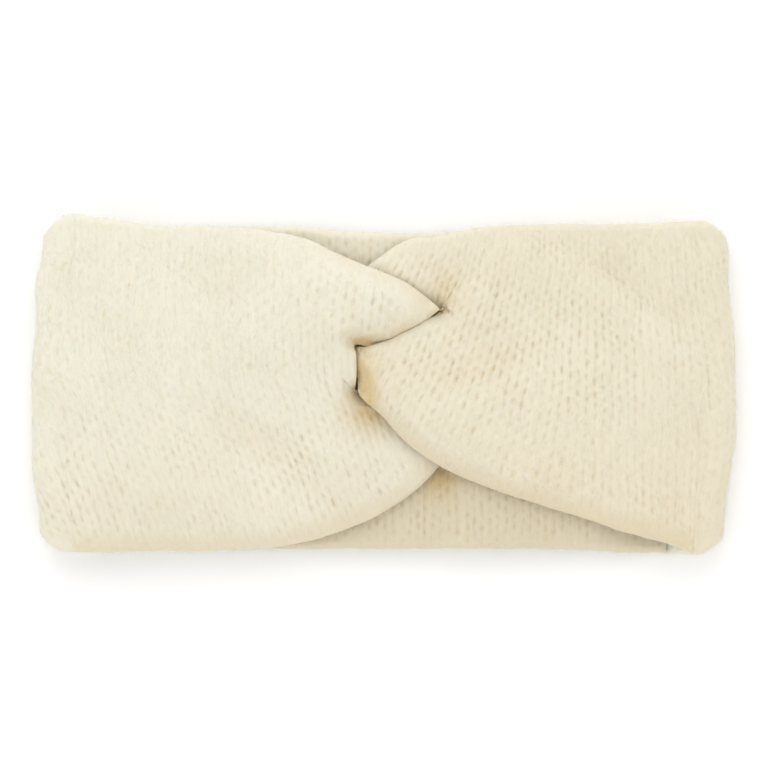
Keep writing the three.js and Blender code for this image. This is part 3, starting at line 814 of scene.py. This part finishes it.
def draw_to_crease(wrap, middle, shares, to_end, front):
    """Moves a wrap's end onto the crease in plan. Returns how firmly each column is held there."""
    edge = middle[-1, :, :2]
    at_edge = run_along(edge)
    start, stop = np.interp(wrap["arm"], shares, at_edge)
    arm = (at_edge - start) / (stop - start)
    path = crease_path(wrap)
    place = np.clip(arm, 0, 1) * (PATH_POINTS - 1)
    target = np.stack([np.interp(place, np.arange(PATH_POINTS), path[:, k]) for k in (0, 1)], 1)
    hold = 1 - smooth((arm - 1) / 0.25) if wrap["side"] > 0 else smooth((arm + 0.3) / 0.3)
    pull = (target - edge) * hold[:, None]
    near = 1 - smooth(to_end / CREASE_RUN)
    middle[..., :2] += pull[None] * near[..., None]
    for low_share, high_share, centre, spread, shift in wrap["edges"]:
        at_rim = smooth((shares - low_share) / (high_share - low_share))
        middle[..., 1] += shift * np.exp(-((middle[..., 0] - centre) / spread) ** 2) * at_rim * front
    return hold


def stitch_depth(wrap, x, along, t, to_rim, to_end, seed):
    """How clearly the stitches show, from 0 to 1: less on brushed stretches, rims and ends."""
    if wrap["side"] > 0:
        soft = 0.78 - 0.25 * smooth((x - 45) / 50) - 0.12 * smooth((t - 5) / 25)
    else:
        soft = 0.72 - 0.42 * smooth((t + 28) / 30) * (1 - 0.7 * smooth((x + 30) / 20))
    uneven = 0.85 + 0.35 * noise(along / 24, t / 20, seed + 2) + 0.2 * noise(along / 5, t / 4, seed + 3)
    loud = np.clip(soft * uneven, 0.15, 1)
    return loud * (0.2 + 0.8 * smooth((to_rim - 2) / 8)) * (0.25 + 0.75 * smooth(to_end / 9))


def painted_warm_shade(wrap, x, y, front, lower_half, lift, to_rim, back, dive, hold):
    """Painted warm shade on the turned ends, in the folds, along the lower edges, over the right wrap and
    the left wrap's lower half and upper rim, and in soft spots.
    """
    # painted shade on the side of an end that dives under the other wrap
    flank = np.clip(1 - (back - 1.6) / 8.3, 0, 1) * dive * wrap["flank"]
    # painted shade on the walls of the crease
    wall = 0.35 * (1 - smooth(back / 2)) * hold
    # painted shade in the hollow folds
    hollow = 0.07 * np.maximum(-lift - 0.4, 0)
    # painted shade along the lower rims, as if lit from above
    edge_shade = 0.33 * np.clip(1 - to_rim / 8, 0, 1) * lower_half * front
    # painted shade: the right wrap darker than the left, darker still towards its lower edge; the left
    # wrap's lower half and its upper rim near the tip
    if wrap["side"] > 0:
        tone = 0.17 + 0.10 * smooth((-y - 5) / 40)
    else:
        tone = 0.1 * smooth((-y - 10) / 35)
        tone = tone + 0.35 * np.clip(1 - to_rim / 6, 0, 1) * (y > 0) * smooth((x + 30) / 15)
    # soft spots of painted shade
    for cx, cy, rx, ry, strength in wrap["spots"]:
        tone = tone + strength * np.exp(-((x - cx) / rx) ** 2 - ((y - cy) / ry) ** 2) * front
    return flank + wall + hollow + edge_shade + tone


def wrap_piece(wrap, name, seed):
    coarser = 1
    stations, shares, middle = wrap_grid(wrap, coarser)
    v_len, u_len = lengths(middle, 1), lengths(middle, 0)
    to_rim = np.minimum(v_len, v_len[:, -1:] - v_len)
    to_end = u_len[-1:] - u_len
    round_fold = np.clip(stations + 1, 0, 1) * np.pi - np.pi / 2
    like = np.stack([wrap["side"] * np.cos(round_fold), 0 * round_fold, np.sin(round_fold)], -1)[:, None]
    front = smooth((stations - 0.05) / 0.5)[:, None]
    lower_half = shares[None] < 0.5

    # The ends are drawn together, the soft folds rise and the long edges roll down
    hold = draw_to_crease(wrap, middle, shares, to_end, front)
    x, y = middle[..., 0], middle[..., 1]
    lift = sum(soft_fold(x, y, *fold) for fold in wrap["folds"])
    lift = (lift + WAVE_HEIGHT * noise(x / 23, y / 19, seed + 7)) * front
    low_droop, top_droop = (np.interp(x, *np.array(table).T) for table in wrap["droops"])
    roll = np.where(lower_half, low_droop, top_droop) * (1 - smooth(to_rim / 9)) ** 1.2 * front

    # Each end turns to the height that lets one wrap pass under the other
    high = middle[..., 2] + lift
    whole = (hold > 0.99)[None] & (stations > 0)[:, None]
    (back, wide, low, full), beside = end_turn(wrap, x, y, high, whole)
    back = back + (1 - hold) * 50
    part = np.clip(back / wide, 0, 1)
    curve = low + (full - low) * (1 - (1 - part) ** 1.8)
    turn = (curve - high) * (1 - smooth((part - 0.5) / 0.5)) * hold * front * beside
    turn = turn - roll * smooth(back / 6)
    dive = smooth((full - low - 2.5) / 2.5) * hold

    # The wall thins towards its gathered end and rounds off on all four sides
    half = WALL / 2 * (PINCH_SHARE + (1 - PINCH_SHARE) * smooth(to_end / PINCH_RUN))
    to_end = np.minimum(to_end, back)
    half = half * (1 - TURN_THINNING * hold * (1 - smooth(back / TURN_THIN_RUN)))
    half = half * rim_share(to_rim) * rim_share(np.minimum(to_end, u_len * END_SHARPNESS))
    upright = (hold * (1 - smooth((back - 1) / 4)))[..., None]
    up = np.array([0, 0, 1.0])
    under = middle.copy()
    under[..., 2] += lift - np.clip(lift, -1.15 * half, 1.15 * half)
    away = surface_normal(under, like) * (1 - upright) + up * upright
    inner = under - away * half[..., None]
    inner[..., 2] += turn
    middle[..., 2] += lift
    normal = surface_normal(middle, like)

    # Stitch coordinates run in plan on the front and along the cloth round the side fold
    flat = u_len.mean(1)
    turn_at = np.interp(0.3, stations, flat)
    turn_x = wrap_surface(wrap, [0.3], np.array([0.5]))[0, 0, 0]
    along = np.where(stations[:, None] < 0.3, turn_x + wrap["side"] * (turn_at - flat)[:, None], x)
    seeds = (seed, seed + 1, seed + 4)
    wale, course, open_, height = stitches(along, y, lean(wrap, along, y), seeds, YARN_HEIGHT, OPENING_DEPTH)
    loud = stitch_depth(wrap, x, along, y, to_rim, to_end, seed)
    relief = height * loud * rim_share(np.minimum(to_rim, np.minimum(to_end, u_len)))
    away = normal * (1 - upright) + up * upright
    outer = middle + away * (half + relief)[..., None]
    outer[..., 2] += turn

    # painted shade in the stitch openings, then the painted warm shade of the ends, folds and rims
    shade = OPENING_PAINTED_SHADE * open_ * loud
    shade = np.clip(shade + painted_warm_shade(wrap, x, y, front, lower_half, lift, to_rim, back, dive, hold), 0, 1)
    outer, inner = waver(outer), waver(inner)
    obj = cloth(name, outer, inner, np.stack([wale, course], -1), shade, WRAP_INNER_EVERY, WOOL)
    node = name.replace("_knit", "")
    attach(obj, "root")
    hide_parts(node)
    seen = smooth((stations[:, None] + 0.95) / 0.2) + 0 * half
    shown = seen * np.where(hidden(wrap, x, y), 0.05, 1) * (0.75 + 0.25 * smooth(to_end / 8))
    fuzz(node, outer, normal, shown, WRAP_FIBRES // coarser, seed + 9)


wrap_piece(LEFT, "left_wrap_knit", 11)
wrap_piece(RIGHT, "right_wrap_knit", 31)


def back_piece():
    coarser = 1
    along = np.linspace(0, 1, int(2 * SEAM_REACH / (BACK_STEP * coarser)) + 1)
    along = np.concatenate([[0, BACK_END_SHARE], along[1:-1], [1 - BACK_END_SHARE, 1]])
    shares = np.linspace(0, 1, int(BAND_WIDTH / (BACK_ACROSS_STEP * coarser)) + 1)
    middle = back_surface(along, shares)
    x, y = middle[..., 0], middle[..., 1]
    raised = (np.interp(x, *np.array(BACK_TOP_LIFT).T) * smooth((y - 20) / 24)
              + np.interp(x, *np.array(BACK_LOW_LIFT).T) * smooth((-y - 4) / 32))
    middle[..., 2] += raised
    normal = surface_normal(middle, np.array([0, 0, 1.0]))
    v_len, u_len = lengths(middle, 1), lengths(middle, 0)
    to_rim = np.minimum(v_len, v_len[:, -1:] - v_len)
    to_end = np.minimum(u_len, u_len[-1:] - u_len)
    half = WALL / 2 * rim_share(to_rim) * rim_share(to_end * END_SHARPNESS)
    seeds = (51, 52, 54)
    wale, course, open_, height = stitches(x, y, 0, seeds, BACK_YARN_HEIGHT, BACK_OPENING_DEPTH)
    loud = np.clip(0.8 + 0.2 * noise(x / 14, y / 12, 53), 0.2, 1) * (0.3 + 0.7 * smooth((to_rim - 1) / 7))
    relief = height * loud * rim_share(np.minimum(to_rim, to_end))
    # painted shadow on the back where the right wrap's edge lies over it
    notch_shadow = NOTCH_PAINTED_SHADOW * np.exp(-((x - NOTCH_X) ** 2 + (y - NOTCH_Y) ** 2) / NOTCH_SQUARE)
    # painted shade on the back's strips, stronger on the lower one, and in its openings
    shade = np.where(y < 0, BACK_LOW_PAINTED_SHADE + notch_shadow, BACK_TOP_PAINTED_SHADE) + OPENING_PAINTED_SHADE * open_ * loud
    outer = waver(middle + normal * (half + relief)[..., None])
    drop = np.array([0, 0, BACK_INNER_DROP]) * raised[..., None]
    inner = waver(middle - normal * half[..., None] - drop)
    uv = np.stack([wale, course], -1)
    obj = cloth("back_panel_knit", outer, inner, uv, shade, BACK_INNER_EVERY, WOOL)
    # painted shade that dims the back's lower strip
    shaded = np.zeros(len(obj.data.vertices), np.float32)
    shaded[:x.size] = (BACK_PAINTED_DIM * smooth(-y / 20)).ravel()
    obj.data.attributes.new("painted_dim", "FLOAT", "POINT").data.foreach_set("value", shaded)
    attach(obj, "root")
    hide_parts("back_panel")
    shown = np.where((y > 38) | (y < -22), 1, 0.02) * smooth((96 - abs(x - 10)) / 4)
    fuzz("back_panel", outer, normal, shown, BACK_FIBRES // coarser, 59)


back_piece()


def seam_piece():
    count, sides = 120, 40
    s = np.linspace(SEAM_START_SHARE, SEAM_STOP_SHARE, count)
    left = wrap_surface(LEFT, [LEFT["last"]], (1 + s) / 2)[0]
    right = wrap_surface(RIGHT, [RIGHT["last"]], s / 2)[0]
    line = (left + right) / 2
    line[:, 2] = SEAM_LOW + SEAM_THICK / 2
    run = np.gradient(line, axis=0)
    run[:, 2] = 0
    run = unit(run)
    sideways = np.stack([-run[:, 1], run[:, 0], 0 * run[:, 0]], 1)
    at = np.linspace(0, 1, count)
    end = np.sqrt(1 - (1 - np.clip(np.minimum(at, 1 - at) / SEAM_TIP_SHARE, 0, 1)) ** 2)
    end = np.maximum(end, 0.02)
    angle = np.linspace(0, 2 * np.pi, sides, endpoint=False)
    gather = 1 - SEAM_GATHER_DEPTH * (0.5 + 0.5 * np.cos(at * 2 * np.pi * SEAM_GATHERS))
    size = (end * gather)[:, None]
    points = (line[:, None]
              + sideways[:, None] * (size * np.cos(angle) * SEAM_BROAD / 2)[..., None]
              + np.array([0, 0, 1.0]) * (size * np.sin(angle) * SEAM_THICK / 2)[..., None])
    index = np.arange(count * sides).reshape(count, sides)
    nxt = np.roll(index, -1, 1)
    quads = np.stack([index[:-1], index[1:], nxt[1:], nxt[:-1]], -1).reshape(-1, 4)
    tips = np.concatenate([points.reshape(-1, 3), line[:1], line[-1:]])
    first, last = count * sides, count * sides + 1
    tris = np.concatenate([
        np.stack([np.full(sides, first), index[0], nxt[0]], 1),
        np.stack([np.full(sides, last), nxt[-1], index[-1]], 1),
    ])
    quads, tris = facing_out(tips, quads, tris)
    # painted shade on the seam
    shade = np.full(len(tips), SEAM_SHADE)
    obj = make_mesh("centre_seam_knit", tips, quads, tris, np.zeros((len(tips), 2)), shade, WOOL)
    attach(obj, "root")
    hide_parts("centre_seam")


seam_piece()

# Floor, light and camera
FLOOR_HALF = 3.0
FLOOR_LOW = -0.0002
FLOOR_PALE = 0.98
SKY_STRENGTH = 1.055
LIGHT_PLACE, LIGHT_SIZE, LIGHT_POWER = (-0.1, 0.62, 0.78), 0.8, 1.8
CAMERA_X, CAMERA_Y, CAMERA_HEIGHT = -0.33 * MM, -0.67 * MM, 2.0
SENSOR_MM = 36
FRAME_MM = 256.0  # what the picture shows across at the floor


def pale_floor():
    h = FLOOR_HALF
    mesh = bpy.data.meshes.new("floor")
    mesh.from_pydata([(-h, -h, 0), (h, -h, 0), (h, h, 0), (-h, h, 0)], [], [(0, 1, 2, 3)])
    floor = bpy.data.objects.new("floor", mesh)
    floor.location.z = FLOOR_LOW
    bpy.context.scene.collection.objects.link(floor)
    pale = bpy.data.materials.new("pale_floor")
    pale.use_nodes = True
    bsdf = pale.node_tree.nodes["Principled BSDF"]
    bsdf.inputs["Base Color"].default_value = (FLOOR_PALE, FLOOR_PALE, FLOOR_PALE, 1)
    bsdf.inputs["Roughness"].default_value = 0.9
    bsdf.inputs["Specular IOR Level"].default_value = 0.1
    mesh.materials.append(pale)
    return floor


floor = pale_floor()

world = bpy.data.worlds.new("studio")
bpy.context.scene.world = world
world.use_nodes = True
world.node_tree.nodes["Background"].inputs["Color"].default_value = (1, 1, 1, 1)
world.node_tree.nodes["Background"].inputs["Strength"].default_value = SKY_STRENGTH


def area_light(name, place, size, power):
    """A square light that faces the middle of the band."""
    data = bpy.data.lights.new(name, "AREA")
    data.shape = "SQUARE"
    data.size = size
    data.energy = power
    obj = bpy.data.objects.new(name, data)
    obj.location = place
    direction = -obj.location
    obj.rotation_mode = "QUATERNION"
    obj.rotation_quaternion = direction.to_track_quat("-Z", "Y")
    bpy.context.scene.collection.objects.link(obj)


area_light("key", LIGHT_PLACE, LIGHT_SIZE, LIGHT_POWER)

camera = bpy.data.cameras.new("camera")
camera.sensor_width = SENSOR_MM
camera.lens = SENSOR_MM * CAMERA_HEIGHT * 1000 / FRAME_MM
camera.clip_start, camera.clip_end = 0.05, 20
cam = bpy.data.objects.new("camera", camera)
cam.location = (CAMERA_X, CAMERA_Y, CAMERA_HEIGHT)
bpy.context.scene.collection.objects.link(cam)
bpy.context.scene.camera = cam
bpy.context.scene.view_settings.view_transform = "Standard"
